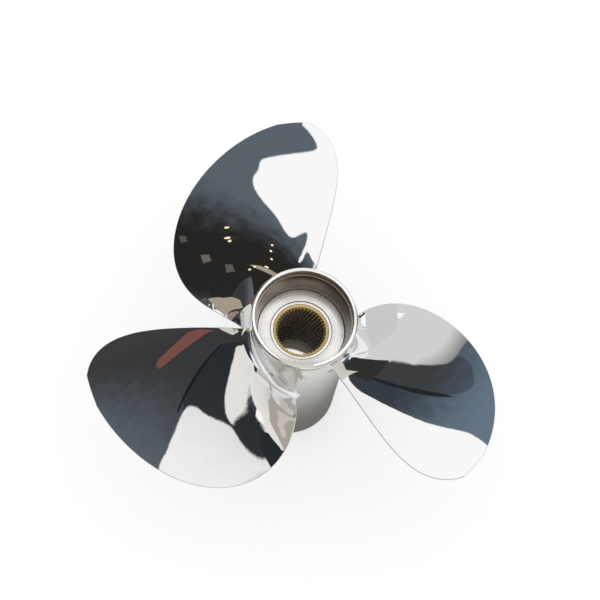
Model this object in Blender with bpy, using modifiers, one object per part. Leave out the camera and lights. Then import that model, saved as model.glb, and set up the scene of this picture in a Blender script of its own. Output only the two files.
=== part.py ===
"""A three-blade stainless steel boat propeller with a rubber-mounted, splined brass sleeve in its hub.

Units are metres. +Z is the shaft axis and points aft, so the propeller stands on the forward end
of its hub. The origin is on the axis at the centre of mass.
"""

import math

import bmesh
import bpy

MM = 0.001

# Hub, with heights measured up from the forward end
HUB_LENGTH = 178 * MM
HUB_RADIUS = 44 * MM
HUB_WALL = 6.2 * MM
RIM_RADIUS = 46 * MM
RIM_FLARE = 12 * MM
RIM_LAND = 3.6 * MM
RIM_STEP_DEPTH = 7 * MM
EDGE_BREAK = 1.2 * MM
BALANCE_HEIGHT = 107.5 * MM
GAP = 0.3 * MM

# Aft recess and the bore behind it
RECESS_DEPTH = 31 * MM
RECESS_MOUTH_RADIUS = 41 * MM
SHOULDER = 7 * MM
FORWARD_RECESS = 46 * MM
CARRIER_RADIUS = 33.2 * MM
CARRIER_NECK_RADIUS = 26.7 * MM
CARRIER_WALL = 3.4 * MM
SLEEVE_RADIUS = 24.1 * MM
SLEEVE_LENGTH = 90 * MM
SLEEVE_MOUTH_RADIUS = 21.8 * MM
SLEEVE_CHAMFER = 1.6 * MM
RING_THICKNESS = 3 * MM
VENT_RADIUS = 1.5 * MM
VENT_DEPTH = 10.5 * MM
VENT_ANGLE = math.radians(260)

# Splines
SPLINES = 44
SPLINE_TIP_RADIUS = 20.1 * MM
SPLINE_ROOT_RADIUS = 21.5 * MM
SPLINE_LEAD = 600 * MM
SPLINE_END = 11 * MM

# Blades. Angles are measured round the axis from the middle of a blade's root
BLADES = 3
FIRST_BLADE_ANGLE = math.radians(225)
LAST_BLADE_TURN = math.radians(12.5)
TIP_RADIUS = 193 * MM
AFT_EDGE_ANGLE = math.radians(-42)
FORWARD_EDGE_ANGLE = math.radians(46)
TIP_ANGLE = math.radians(-26.5)
AFT_EDGE_CURVE = (4.6, 0.6)
FORWARD_EDGE_CURVE = (2.1, 0.69)
MIDDLE_DROP = 43 * MM
RAKE = -0.03
LEAD = 53 * MM
LEAD_GROWTH = 0.30
HOLLOW = 9 * MM
HOLLOW_GROWTH = -0.28
EDGE_LIFT = 41 * MM
EDGE_LIFT_GROWTH = 0.19
MEAN_RADIUS = 115 * MM
ROOT_FADE = 28 * MM
ROOT_LEAD = 11 * MM
ROOT_CROWN = 46 * MM
ROOT_DIP = 17 * MM
ROOT_THICKNESS = 8 * MM
TIP_THICKNESS = 2.4 * MM
EDGE_THICKNESS = 1.4 * MM
FILLET = 10 * MM
FILLET_END_SHARE = 0.3
ROOT_INSERT = 6 * MM

# Fineness of the meshes
ROUND_STEPS = 72
CHORD_STEPS = 20
TWIST_STEPS = 8
SPAN_STEPS = 24
FILLET_STEPS = 4


def clear_scene():
    for obj in list(bpy.data.objects):
        bpy.data.objects.remove(obj)


def new_collection(name):
    collection = bpy.data.collections.new(name)
    bpy.context.scene.collection.children.link(collection)
    return collection


def material(name, colour, roughness, metallic):
    made = bpy.data.materials.new(name)
    made.use_nodes = True
    shader = made.node_tree.nodes["Principled BSDF"]
    shader.inputs["Base Color"].default_value = (*colour, 1)
    shader.inputs["Roughness"].default_value = roughness
    shader.inputs["Metallic"].default_value = metallic
    return made


def add_object(name, mesh, collection, parent, finish):
    obj = bpy.data.objects.new(name, mesh)
    collection.objects.link(obj)
    obj.parent = parent
    if finish:
        mesh.materials.append(finish)
    mesh.shade_smooth()
    mesh.set_sharp_from_angle(angle=math.radians(35))
    return obj


def turned(name, profile, collection, parent, finish):
    """A closed ring turned about Z from (radius, height) points that run down its outer side first."""
    mesh = bpy.data.meshes.new(name)
    count = len(profile)
    points = [(radius, 0, height) for radius, height in profile]
    edges = [(index, (index + 1) % count) for index in range(count)]
    mesh.from_pydata(points, edges, [])
    obj = bpy.data.objects.new(name, mesh)
    collection.objects.link(obj)
    obj.parent = parent
    mesh.materials.append(finish)
    screw = obj.modifiers.new("turn", "SCREW")
    screw.steps = ROUND_STEPS
    screw.render_steps = ROUND_STEPS
    screw.use_merge_vertices = True
    screw.merge_threshold = 0.00001
    screw.use_smooth_shade = True
    return obj


def hub_outside(clearance):
    """The hub's outer side from its aft end down, moved outward by a clearance."""
    return [
        (RIM_RADIUS + clearance, HUB_LENGTH - EDGE_BREAK),
        (RIM_RADIUS + clearance, HUB_LENGTH - RIM_FLARE / 3),
        (HUB_RADIUS + clearance, HUB_LENGTH - RIM_FLARE),
        (HUB_RADIUS + clearance, EDGE_BREAK),
    ]


def barrel(collection, cutters, parent):
    """The outer tube of the hub, flared to a stepped rim at its aft end."""
    inner = HUB_RADIUS - HUB_WALL
    land = RIM_RADIUS - RIM_LAND
    profile = [
        (RIM_RADIUS - EDGE_BREAK, HUB_LENGTH),
        *hub_outside(0),
        (HUB_RADIUS - EDGE_BREAK, 0),
        (inner, 0),
        (inner, HUB_LENGTH - RECESS_DEPTH),
        (RECESS_MOUTH_RADIUS, HUB_LENGTH - RIM_STEP_DEPTH),
        (land - EDGE_BREAK, HUB_LENGTH - RIM_STEP_DEPTH),
        (land, HUB_LENGTH - EDGE_BREAK),
        (land + EDGE_BREAK, HUB_LENGTH),
    ]
    steel = material("polished_steel_barrel", (0.60, 0.60, 0.60), 0.12, 1)
    obj = turned("barrel", profile, collection, parent, steel)
    vent = vent_cutter(cutters, parent)
    cut = obj.modifiers.new("vent", "BOOLEAN")
    cut.object = vent
    cut.operation = "DIFFERENCE"
    cut.solver = "EXACT"


def root_cutter(cutters, parent):
    """The space of the hub, which trims the blades' roots to its outer side."""
    core = HUB_RADIUS / 2
    profile = [*hub_outside(GAP), (core, EDGE_BREAK), (core, HUB_LENGTH - EDGE_BREAK)]
    plain = material("cutter", (0.5, 0.5, 0.5), 0.5, 0)
    obj = turned("root_cutter", profile, cutters, parent, plain)
    obj.hide_render = True
    obj.display_type = "WIRE"
    return obj


def vent_cutter(cutters, parent):
    """The small round hole through the hub's wall, just under the rim."""
    bpy.ops.mesh.primitive_cylinder_add(vertices=16, radius=VENT_RADIUS, depth=4 * HUB_WALL)
    obj = bpy.context.object
    obj.name = "vent_cutter"
    for collection in list(obj.users_collection):
        collection.objects.unlink(obj)
    cutters.objects.link(obj)
    obj.parent = parent
    reach = HUB_RADIUS - HUB_WALL / 2
    height = HUB_LENGTH - VENT_DEPTH
    obj.location = (reach * math.cos(VENT_ANGLE), reach * math.sin(VENT_ANGLE), height)
    obj.rotation_euler = (0, math.pi / 2, VENT_ANGLE)
    obj.hide_render = True
    obj.display_type = "WIRE"
    return obj


def inner_hub(collection, parent):
    """The ring inside the barrel whose turned aft face is the floor of the recess."""
    outer = HUB_RADIUS - HUB_WALL - GAP
    face = HUB_LENGTH - RECESS_DEPTH
    bore = CARRIER_RADIUS + GAP
    neck = CARRIER_NECK_RADIUS + GAP
    profile = [
        (outer, face),
        (outer, FORWARD_RECESS),
        (bore, FORWARD_RECESS),
        (bore, face - SHOULDER),
        (neck, face - SHOULDER),
        (neck, face),
    ]
    steel = material("turned_steel_inner_hub", (0.62, 0.60, 0.57), 0.3, 1)
    turned("inner_hub", profile, collection, parent, steel)


def bush_carrier(collection, parent):
    """The steel shell that holds the rubber, with a neck that shows inside the recess floor."""
    face = HUB_LENGTH - RECESS_DEPTH
    shoulder = face - SHOULDER - GAP
    foot = face - SLEEVE_LENGTH
    profile = [
        (CARRIER_NECK_RADIUS, face - GAP),
        (CARRIER_NECK_RADIUS, shoulder),
        (CARRIER_RADIUS, shoulder),
        (CARRIER_RADIUS, foot),
        (CARRIER_RADIUS - CARRIER_WALL, foot),
        (CARRIER_RADIUS - CARRIER_WALL, shoulder - CARRIER_WALL),
        (SLEEVE_RADIUS + GAP, shoulder - CARRIER_WALL),
        (SLEEVE_RADIUS + GAP, face - GAP),
    ]
    steel = material("turned_steel_bush_carrier", (0.60, 0.57, 0.52), 0.35, 1)
    turned("bush_carrier", profile, collection, parent, steel)


def rubber_bush(collection, parent):
    """The rubber between the carrier and the sleeve."""
    face = HUB_LENGTH - RECESS_DEPTH
    top = face - SHOULDER - CARRIER_WALL - 2 * GAP
    foot = face - SLEEVE_LENGTH
    outer = CARRIER_RADIUS - CARRIER_WALL - GAP
    inner = SLEEVE_RADIUS + GAP
    profile = [(outer, top), (outer, foot), (inner, foot), (inner, top)]
    rubber = material("moulded_rubber", (0.02, 0.02, 0.02), 0.7, 0)
    turned("rubber_bush", profile, collection, parent, rubber)


def retaining_ring(collection, parent):
    """The flat ring in the forward recess that keeps the bush in the hub."""
    top = HUB_LENGTH - RECESS_DEPTH - SLEEVE_LENGTH - GAP
    foot = top - RING_THICKNESS
    profile = [
        (CARRIER_RADIUS, top),
        (CARRIER_RADIUS, foot),
        (SLEEVE_MOUTH_RADIUS, foot),
        (SLEEVE_MOUTH_RADIUS, top),
    ]
    steel = material("plain_steel_ring", (0.5, 0.5, 0.5), 0.4, 1)
    turned("retaining_ring", profile, collection, parent, steel)


def spline_radius(index):
    """The radius at one of the four corners of a tooth: two on its tip, then two at its root."""
    return SPLINE_TIP_RADIUS if index % 4 < 2 else SPLINE_ROOT_RADIUS


def spline_sleeve(collection, parent):
    """The brass sleeve that slides on the shaft: it has helical splines, and is plain at both ends."""
    face = HUB_LENGTH - RECESS_DEPTH
    foot = face - SLEEVE_LENGTH
    corners = 4 * SPLINES
    made = bmesh.new()

    def ring(radius_of, height):
        points = []
        for index in range(corners):
            turn = (face - height) / SPLINE_LEAD
            angle = 2 * math.pi * (index / corners + turn)
            radius = radius_of(index)
            points.append(made.verts.new((radius * math.cos(angle), radius * math.sin(angle), height)))
        return points

    def turned_rings(radius_of, start, end):
        for step in range(TWIST_STEPS + 1):
            rings.append(ring(radius_of, start + (end - start) * step / TWIST_STEPS))

    rings = []
    turned_rings(lambda index: SLEEVE_RADIUS, foot, face)
    rings.append(ring(lambda index: SLEEVE_MOUTH_RADIUS + SLEEVE_CHAMFER, face))
    rings.append(ring(lambda index: SLEEVE_MOUTH_RADIUS, face - SLEEVE_CHAMFER))
    turned_rings(spline_radius, face - SLEEVE_CHAMFER, foot + SPLINE_END)
    rings.append(ring(lambda index: SPLINE_ROOT_RADIUS, foot + SPLINE_END))
    rings.append(ring(lambda index: SPLINE_ROOT_RADIUS, foot))
    for lower, upper in zip(rings, rings[1:] + rings[:1]):
        for index in range(corners):
            after = (index + 1) % corners
            made.faces.new((lower[index], lower[after], upper[after], upper[index]))
    bmesh.ops.recalc_face_normals(made, faces=made.faces)
    mesh = bpy.data.meshes.new("spline_sleeve")
    made.to_mesh(mesh)
    made.free()
    brass = material("machined_brass", (0.70, 0.52, 0.25), 0.25, 1)
    add_object("spline_sleeve", mesh, collection, parent, brass)


def edge_angle(radius, root_angle, curve):
    """The angle of a blade's edge at a radius: straight near the hub, sweeping round to the tip."""
    reach = (radius - HUB_RADIUS) / (TIP_RADIUS - HUB_RADIUS)
    inward, round_off = curve
    share = (1 - min(max(reach, 0), 1) ** inward) ** round_off
    return TIP_ANGLE + (root_angle - TIP_ANGLE) * share


def face_height(radius, angle):
    """The height of the blade's aft face: a screw surface with rake, hollowed away from the hub.

    Near the hub the hollow fades into a crown, so that the root runs straighter down the hub.
    """
    out = radius - MEAN_RADIUS
    lead = LEAD + LEAD_GROWTH * out
    hollow = HOLLOW + HOLLOW_GROWTH * out
    lift = EDGE_LIFT + EDGE_LIFT_GROWTH * out
    middle = HUB_LENGTH - MIDDLE_DROP + RAKE * out
    near = math.exp((HUB_RADIUS - radius) / ROOT_FADE)
    root = ROOT_LEAD * angle + ROOT_CROWN * angle**2 + ROOT_DIP * angle**3
    return middle - lead * angle + hollow * angle**2 + lift * angle**3 - near * root


def fillet_growth(radius):
    """How far the root fillet spreads the section on each side at a radius."""
    clear = max(radius - HUB_RADIUS - GAP, 0)
    if clear >= FILLET:
        return 0
    return FILLET - math.sqrt(FILLET**2 - (FILLET - clear) ** 2)


def blade_section(radius):
    """The section at one radius: points along the aft face, then back along the forward face."""
    aft = edge_angle(radius, AFT_EDGE_ANGLE, AFT_EDGE_CURVE)
    forward = edge_angle(radius, FORWARD_EDGE_ANGLE, FORWARD_EDGE_CURVE)
    spread = fillet_growth(radius)
    reach = (radius - HUB_RADIUS) / (TIP_RADIUS - HUB_RADIUS)
    thickest = ROOT_THICKNESS + (TIP_THICKNESS - ROOT_THICKNESS) * reach
    step = math.radians(0.5)
    face, back = [], []
    for index in range(CHORD_STEPS + 1):
        across = index / CHORD_STEPS
        angle = aft + (forward - aft) * across
        height = face_height(radius, angle)
        climb = face_height(radius, angle + step) - face_height(radius, angle - step)
        run = 2 * step * radius
        length = math.hypot(climb, run)
        normal = (-climb / length, run / length)
        along = (run / length, climb / length)
        thickness = EDGE_THICKNESS + (thickest - EDGE_THICKNESS) * (4 * across * (1 - across)) ** 0.7
        middle = math.sqrt(4 * across * (1 - across))
        rise = spread * (FILLET_END_SHARE + (1 - FILLET_END_SHARE) * middle)
        push = rise * (2 * across - 1)
        for side, offset in ((face, rise), (back, -thickness - rise)):
            around = angle * radius + offset * normal[0] + push * along[0]
            up = height + offset * normal[1] + push * along[1]
            side.append((radius, around / radius, up))
    return face + back[::-1]


def span_radii():
    """Radii from root to tip, close together in the fillet and near the tip."""
    start = HUB_RADIUS + GAP
    radii = [start - ROOT_INSERT]
    radii += [start + FILLET * (index / FILLET_STEPS) ** 2 for index in range(FILLET_STEPS)]
    first = start + FILLET
    for index in range(SPAN_STEPS + 1):
        share = math.sin(math.pi / 2 * index / SPAN_STEPS)
        radii.append(first + (TIP_RADIUS - first) * min(share, 0.9995))
    return radii


def blade_mesh(name):
    made = bmesh.new()
    rings = []
    for radius in span_radii():
        ring = []
        for reach, angle, height in blade_section(radius):
            ring.append(made.verts.new((reach * math.cos(angle), reach * math.sin(angle), height)))
        rings.append(ring)
    count = len(rings[0])
    for inner, outer in zip(rings, rings[1:]):
        for index in range(count):
            after = (index + 1) % count
            made.faces.new((inner[index], inner[after], outer[after], outer[index]))
    for ring in (rings[0], rings[-1]):
        for index in range(CHORD_STEPS):
            made.faces.new((ring[index], ring[index + 1], ring[-2 - index], ring[-1 - index]))
    bmesh.ops.recalc_face_normals(made, faces=made.faces)
    mesh = bpy.data.meshes.new(name)
    made.to_mesh(mesh)
    made.free()
    return mesh


def blades(collection, cutters, parent):
    """Equal blades round the hub, each with its own finish. The last is set a little further round."""
    trim = root_cutter(cutters, parent)
    for index in range(BLADES):
        name = f"blade_{index + 1}"
        steel = material(f"mirror_steel_{name}", (0.62, 0.63, 0.64), 0.05, 1)
        obj = add_object(name, blade_mesh(name), collection, parent, steel)
        turn = LAST_BLADE_TURN if index == BLADES - 1 else 0
        obj.rotation_euler.z = FIRST_BLADE_ANGLE + index * 2 * math.pi / BLADES + turn
        cut = obj.modifiers.new("root", "BOOLEAN")
        cut.object = trim
        cut.operation = "DIFFERENCE"
        cut.solver = "EXACT"


def main():
    clear_scene()
    parts = new_collection("propeller")
    cutters = new_collection("cutters")
    axis = bpy.data.objects.new("shaft_axis", None)
    parts.objects.link(axis)
    axis.location.z = -BALANCE_HEIGHT
    barrel(parts, cutters, axis)
    inner_hub(parts, axis)
    bush_carrier(parts, axis)
    rubber_bush(parts, axis)
    retaining_ring(parts, axis)
    spline_sleeve(parts, axis)
    blades(parts, cutters, axis)


main()
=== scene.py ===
"""Looks of a three-blade stainless steel boat propeller with a splined brass sleeve in its hub.

Units are metres in the row frame: +Z is the shaft axis and points aft, and the origin is the centre
of mass. The hub stands on its forward end on a plain pale floor.
"""

import math

import bmesh
import bpy
import numpy as np
from mathutils import Matrix, Vector

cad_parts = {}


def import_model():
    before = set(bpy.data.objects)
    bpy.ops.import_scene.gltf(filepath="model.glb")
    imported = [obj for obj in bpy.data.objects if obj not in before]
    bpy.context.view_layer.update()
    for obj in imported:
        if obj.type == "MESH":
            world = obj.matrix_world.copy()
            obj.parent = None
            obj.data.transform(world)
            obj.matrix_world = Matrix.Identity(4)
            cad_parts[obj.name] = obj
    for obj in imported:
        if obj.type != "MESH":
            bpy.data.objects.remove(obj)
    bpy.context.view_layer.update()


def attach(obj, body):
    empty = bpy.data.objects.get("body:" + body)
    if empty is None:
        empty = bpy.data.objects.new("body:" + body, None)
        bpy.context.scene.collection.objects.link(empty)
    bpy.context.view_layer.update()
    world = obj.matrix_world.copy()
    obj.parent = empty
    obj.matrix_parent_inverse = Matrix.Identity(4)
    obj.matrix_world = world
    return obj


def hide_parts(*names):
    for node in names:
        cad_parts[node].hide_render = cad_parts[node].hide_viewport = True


MM = 0.001
ROOT = "root"

# Hub, with heights measured up from the forward end
HUB_LENGTH = 178 * MM
HUB_RADIUS = 44 * MM
HUB_WALL = 6.2 * MM
RIM_RADIUS = 46 * MM
RIM_FLARE = 12 * MM
RIM_LAND = 3.6 * MM
RIM_STEP_DEPTH = 7 * MM
RIM_ROUNDING = 1.2 * MM
BALANCE_HEIGHT = 107.5 * MM
RECESS_DEPTH = 31 * MM
RECESS_MOUTH_RADIUS = 41 * MM
SHOULDER = 7 * MM
FORWARD_RECESS = 46 * MM
VENT_RADIUS = 1.5 * MM
VENT_DEPTH = 10.5 * MM
VENT_ANGLE = math.radians(260)
DRILL_SIDES = 24

# Roundings of the hub's corners
FLARE_TOP_ROUNDING = 2 * MM
FLARE_FOOT_ROUNDING = 4 * MM
LAND_ROUNDING = 0.6 * MM
STEP_ROUNDING = 0.2 * MM
TUBE_ROUNDING = 0.5 * MM
FLOOR_ROUNDING = 0.4 * MM
SEAM_ROUNDING = 0.1 * MM
NECK_ROUNDING = 0.15 * MM
RUBBER_ROUNDING = 0.8 * MM
CORNER_BREAK = 0.3 * MM
SURFACE_MARGIN = 0.1 * MM

# Bush and sleeve
CARRIER_RADIUS = 33.2 * MM
CARRIER_NECK_RADIUS = 26.7 * MM
CARRIER_WALL = 3.4 * MM
SLEEVE_RADIUS = 24.1 * MM
SLEEVE_LENGTH = 90 * MM
SLEEVE_MOUTH_RADIUS = 21.8 * MM
SLEEVE_CHAMFER = 1.6 * MM
RING_THICKNESS = 3 * MM
FIT_GAP = 0.3 * MM
SPLINES = 44
SPLINE_TIP_RADIUS = 20.1 * MM
SPLINE_ROOT_RADIUS = 21.5 * MM
SPLINE_LEAD = 600 * MM
SPLINE_END = 11 * MM
TOOTH_STEPS = 24
TOOTH_SHARES = (0.04, 0.30, 0.37, 0.44, 0.56, 0.63, 0.70, 0.96)
TOOTH_RISES = (0, 0, 0.15, 0.9, 1, 0.9, 0.15, 0)
MOUTH_DEPTH = 3.5 * MM

# Blades. Angles are measured round the axis from the middle of a blade's root
BLADE_ANGLES = {"left_blade": 225, "right_blade": 345, "top_blade": 117.5}
BLADE_NODES = {"left_blade": "blade_1", "right_blade": "blade_2", "top_blade": "blade_3"}
TIP_RADIUS = 193 * MM
AFT_EDGE_ANGLE = math.radians(-42)
FORWARD_EDGE_ANGLE = math.radians(46)
TIP_ANGLE = math.radians(-26.5)
AFT_EDGE_CURVE = (4.6, 0.6)
FORWARD_EDGE_CURVE = (2.1, 0.69)
MIDDLE_DROP = 43 * MM
RAKE = -0.03
LEAD = 53 * MM
LEAD_GROWTH = 0.30
HOLLOW = 9 * MM
HOLLOW_GROWTH = -0.28
EDGE_LIFT = 41 * MM
EDGE_LIFT_GROWTH = 0.19
MEAN_RADIUS = 115 * MM
ROOT_FADE = 28 * MM
ROOT_LEAD = 11 * MM
ROOT_CROWN = 46 * MM
ROOT_DIP = 17 * MM
ROOT_THICKNESS = 8 * MM
TIP_THICKNESS = 2.4 * MM
EDGE_THICKNESS = 1.4 * MM
EDGE_ROUNDING = 0.6 * MM
EDGE_INSET = 1.8 * MM
FILLET = 10 * MM
FILLET_END_SHARE = 0.3
TIP_SHARE = 0.9997
THICKNESS_CURVE = 0.7

# Fineness of the meshes
ROUND_STEPS = 288
CHORD_STEPS = 110
SPAN_STEPS = 120
FILLET_STEPS = 24
EDGE_STEPS = 5
CORNER_STEPS = 6
LONGEST_FACE = 8 * MM
SHARP_ANGLE = math.radians(30)
SLOPE_STEP = math.radians(0.25)
TINY = 1e-12

# Camera
CAMERA_PLACE = (-232.6 * MM, -920.2 * MM, 2379.9 * MM)
CAMERA_AZIMUTH = math.radians(-13.73)
CAMERA_ELEVATION = math.radians(67.96)
CAMERA_ROLL = math.radians(14.75)
CAMERA_LENS = 180
CAMERA_SENSOR = 36
CAMERA_RANGE = (0.1, 20.0)

# Floor and light
FLOOR_COLOUR = "#b6b6b6"
FLOOR_GLOW = 0.52
FLOOR_REACH = 6.0
WORLD_STRENGTH = 1.12
CIRCLE_STEPS = 48
# Light comes up through the table under the hub, and shows at the far end of its bore
LIT_RADIUS = 37 * MM
LIT_LIFT = 0.1 * MM
LIT_STRENGTH = 0.9
# The soft shade on the floor round the hub, which shows low down in the polished tube
SHADE_RADIUS = 150 * MM
SHADE_START = 48 * MM
SHADE_END = 120 * MM
SHADE_LIFT = 0.2 * MM

# Room, seen only as reflections
DOME_RADIUS = 15.0
HORIZON_TOP = 0.42
HORIZON_FOOT = 0.26
HORIZON_COLOUR = "#d9d8d6"
ROOM_COLOUR = "#606b76"
# Soft patches of the room: tilt from straight up, azimuth from +X, half width and softness in degrees
ROOM_PATCHES = [
    (0, 0, 17, 6, "#404142"),
    (27, 345, 24, 5, "#3c3c3d"),
    (40, 215, 40, 7, "#2b2a29"),
]
PANEL_GAP = 1.0
PANEL_STEP = 0.5
# Walls far away, as (tilt, azimuth) corners in degrees, each nearer than the one before
FAR_PANELS = [
    ("ceiling", "#dededc", 1.0, [(26, azimuth) for azimuth in range(0, 360, 45)]),
    ("pale_wall", "#e6e6e4", 1.0,
     [(14, 30), (20, 60), (41, 72), (41, 120), (41, 160), (75, 165), (105, 165), (105, 120), (105, 72),
      (105, 30), (60, 25), (30, 25)]),
    ("white_wall", "#ffffff", 1.2,
     [(55, 55), (55, 67), (40, 67), (33, 69), (28, 71), (22, 84), (10, 75), (10, 55), (30, 58), (45, 59)]),
    ("beige_wall", "#d2ccc5", 1.0, [(50, 285), (50, 340), (100, 340), (100, 285)]),
    ("soft_box", "#ffffff", 1.8, [(28, 60), (28, 92), (14, 98), (14, 54)]),
]

# Boards near a blade, each facing the way that the blade mirrors the camera. A board has a colour at
# its left and its right, the place in millimetres where one turns into the other, and its corners.
# The corners were found by following mirrored rays from edges seen on the blades
BLADE_MIDDLE = 115 * MM
BLADE_MIDDLE_HEIGHT = 25 * MM
BOARD_STRENGTH = 1.2
BOARD_SOFTNESS = 1.6 * MM
BOARD_MOTTLE = 40 * MM
CORNER_CUTS = (0.25, 0.75)
HALO_SOFTNESS = 14 * MM
BOARD_VIEWS = {"left": (220, 36, 336), "right": (340, 60, 66), "top": (112.5, 32, 141)}
BOARDS = [
    ("left_blue_board", "left", 86, ("#59616a", "#38393a", -70, 25),
     [(-160, -48), (-160, 420), (170, 420), (170, 200), (130, 120), (85, 60), (75, 40), (66, 0), (10, -48)]),
    ("left_dark_board", "left", 83, ("#30353a", "#292c30", -20, 50),
     [(-14, 19), (15, 26), (29, 28), (52, 28), (62, 8), (66, -4), (30, -40), (40, -54), (0, -48),
      (-10, -46)]),
    ("left_crease", "left", 82, ("#1b1e21", "#1b1e21", 0, 1),
     [(-14, 18), (15, 25), (53, 26), (53, 29), (15, 28), (-14, 21)]),
    ("left_white_board", "left", 80, ("#f4f4f4", "#e2e2e2", -60, 20),
     [(-58, 10), (-43, 9), (-26, 12), (-8, 14), (-4, 11), (-1, 2), (-2, -9), (6, -30), (7, -35), (-2, -42),
      (-12, -49), (-70, -49), (-75, 0)]),
    ("left_root_board", "left", 81, ("#e6e5e1", "#c9c4bc", 30, 100),
     [(8, -34), (12, -26), (28, -17), (34, -12), (42, -4), (54, 8), (58, -2), (75, 10), (95, 22),
      (100, -90), (20, -90), (24, -54), (40, -53), (42, -47), (31, -44), (16, -35)]),
    ("right_halo_board", "right", 72, ("#8e8f8f", "#8e8f8f", 0, 1),
     [(20, -16), (2, -24), (-8, -40), (-12, -75), (-60, -75), (-60, 0), (20, 0)]),
    ("right_dark_board", "right", 70, ("#667686", "#363c43", -60, 20),
     [(-95, 60), (-60, 41), (-46, 44), (-19, 55), (30, 56), (41, 59), (53, 55), (63, 44), (63, 8), (52, -4),
      (48, -24), (23, -18), (0, -21), (-11, -26), (-17, -46), (-30, -70), (-95, -70)]),
    ("right_grey_board", "right", 69, ("#4a5663", "#3d3e3f", -45, 5),
     [(62, 14), (28, 5), (10, 10), (-10, 9), (-41, -9), (-30, -30), (-15, -34), (-11, -26), (0, -21),
      (23, -18), (48, -24), (52, -4), (63, 8)]),
    ("right_crease", "right", 68, ("#22262a", "#22262a", 0, 1),
     [(60, 15), (28, 7), (10, 12), (-10, 11), (-30, 1), (-10, 9), (10, 9), (28, 4), (60, 12)]),
    ("right_white_board", "right", 71, ("#fdfdfd", "#f2f2f2", -40, 60),
     [(-95, 30), (60, 30), (90, 55), (60, 95), (35, 150), (20, 200), (-95, 200)]),
    ("top_blue_board", "top", 76, ("#5c656d", "#272625", 0, 55),
     [(-140, -90), (-140, 90), (40, 90), (105, 80), (105, -90)]),
    ("top_white_board", "top", 70, ("#fdfdfd", "#fdfdfd", 0, 1),
     [(-92, 33), (-46, -9), (-39, -14), (-30, -11), (-17, -14), (-5, -4), (4, 18), (13, 26), (14, 33),
      (-14, 52), (-6, 56), (11, 53), (37, 41), (28, 52), (6, 58), (12, 80), (10, 130), (-60, 130),
      (-100, 100), (-140, 90), (-140, 20), (-98, 2), (-100, 15), (-99, 32)]),
]

# Cards close to the steel, as their height and their corners in millimetres, found in the same way.
# The dark and beige ones show at the roots of the blades, the grey ones are windows in the dark part
# of the top blade
NEAR_CARDS = [
    ("beige_mat", "#b5a795", 60,
     [(-80, 63), (-69, 41), (-66, 15), (-55, -8), (-49, -2), (-45, 15), (-30, 37), (-56, 54), (-66, 56),
      (-76, 62)]),
    ("right_root_mat", "#dddddb", 25, [(52, 27), (84, 27), (92, 33), (94, 44), (90, 60), (50, 60)]),
    ("fin_stripe_card", "#d6d0c8", 23,
     [(4, -50), (-7, -59), (-13, -73), (-13, -85), (-11, -85), (-10, -73), (-3, -58), (10, -48)]),
    ("fin_card", "#b9b1a7", 24,
     [(2, -48), (-12, -56), (-17, -72), (-13, -99), (-8, -95), (-6, -80), (-3, -62), (4, -50)]),
    ("left_corner_card", "#2a2f35", 22,
     [(-27, -84), (-21, -84), (-15, -96), (-12, -114), (-20, -118), (-28, -97)]),
    ("rose_card", "#84554f", 68,
     [(-121, -42), (-117, -46), (-80, -11), (-72, -7), (-86, -5), (-97, -9), (-120, -37)]),
    ("window_1", "#5f5c58", 42, [(-127, 104), (-120, 102), (-118, 97), (-124, 98)]),
    ("window_2", "#75706a", 46, [(-106, 84), (-99, 82), (-96, 76), (-102, 77)]),
    ("window_3", "#66635e", 50, [(-87, 69), (-82, 67), (-79, 59), (-84, 61)]),
]
# The upright dark card beside the root of the right blade: its near side, and from and to in X and Z
ROOT_CARD = (10 * MM, 54 * MM, 88 * MM, 34 * MM, 72 * MM)
ROOT_CARD_COLOUR = "#363533"
# Warm lamps in the dark part of the room that the top blade mirrors, found in the same way: place and
# length in millimetres
LAMPS = [
    (-89, 103, 54, 5), (-88, 93, 52, 6), (-86, 90, 52, 3),
    (-55, 84, 63, 3), (-57, 78, 61, 2.5), (-57, 70, 58, 3),
    (-69, 61, 52, 2), (-72, 58, 51, 2), (-62, 61, 54, 2.5),
]
LAMP_COLOUR = "#fff0c0"
LAMP_STRENGTH = 1.5
LAMP_HALF_WIDTH = 1 * MM
LAMP_STEPS = 12


def linear(code):
    """The linear colour of an sRGB hex value."""
    parts = [int(code[start:start + 2], 16) / 255 for start in (1, 3, 5)]
    return tuple(p / 12.92 if p <= 0.04045 else ((p + 0.055) / 1.055) ** 2.4 for p in parts) + (1.0,)


def add_node(tree, kind, settings=None, links=None):
    """Adds a shader node. Settings are its properties or input values, links are inputs fed by sockets."""
    node = tree.nodes.new(kind)
    for key, value in (settings or {}).items():
        if isinstance(key, str) and hasattr(node, key):
            setattr(node, key, value)
        else:
            node.inputs[key].default_value = value
    for key, socket in (links or {}).items():
        tree.links.new(socket, node.inputs[key])
    return node


def new_material(name):
    made = bpy.data.materials.new(name)
    made.use_nodes = True
    made.node_tree.nodes.clear()
    return made, made.node_tree


def finish_surface(tree, settings, links):
    shader = add_node(tree, "ShaderNodeBsdfPrincipled", settings, links)
    add_node(tree, "ShaderNodeOutputMaterial", links={"Surface": shader.outputs[0]})


def blend(tree, share, first, second):
    """A colour that goes from the first to the second sRGB colour as the share goes from 0 to 1."""
    mix = add_node(tree, "ShaderNodeMix", {"data_type": "RGBA"}, {"Factor": share})
    for index, code in ((6, first), (7, second)):
        mix.inputs[index].default_value = linear(code)
    return mix.outputs[2]


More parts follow.
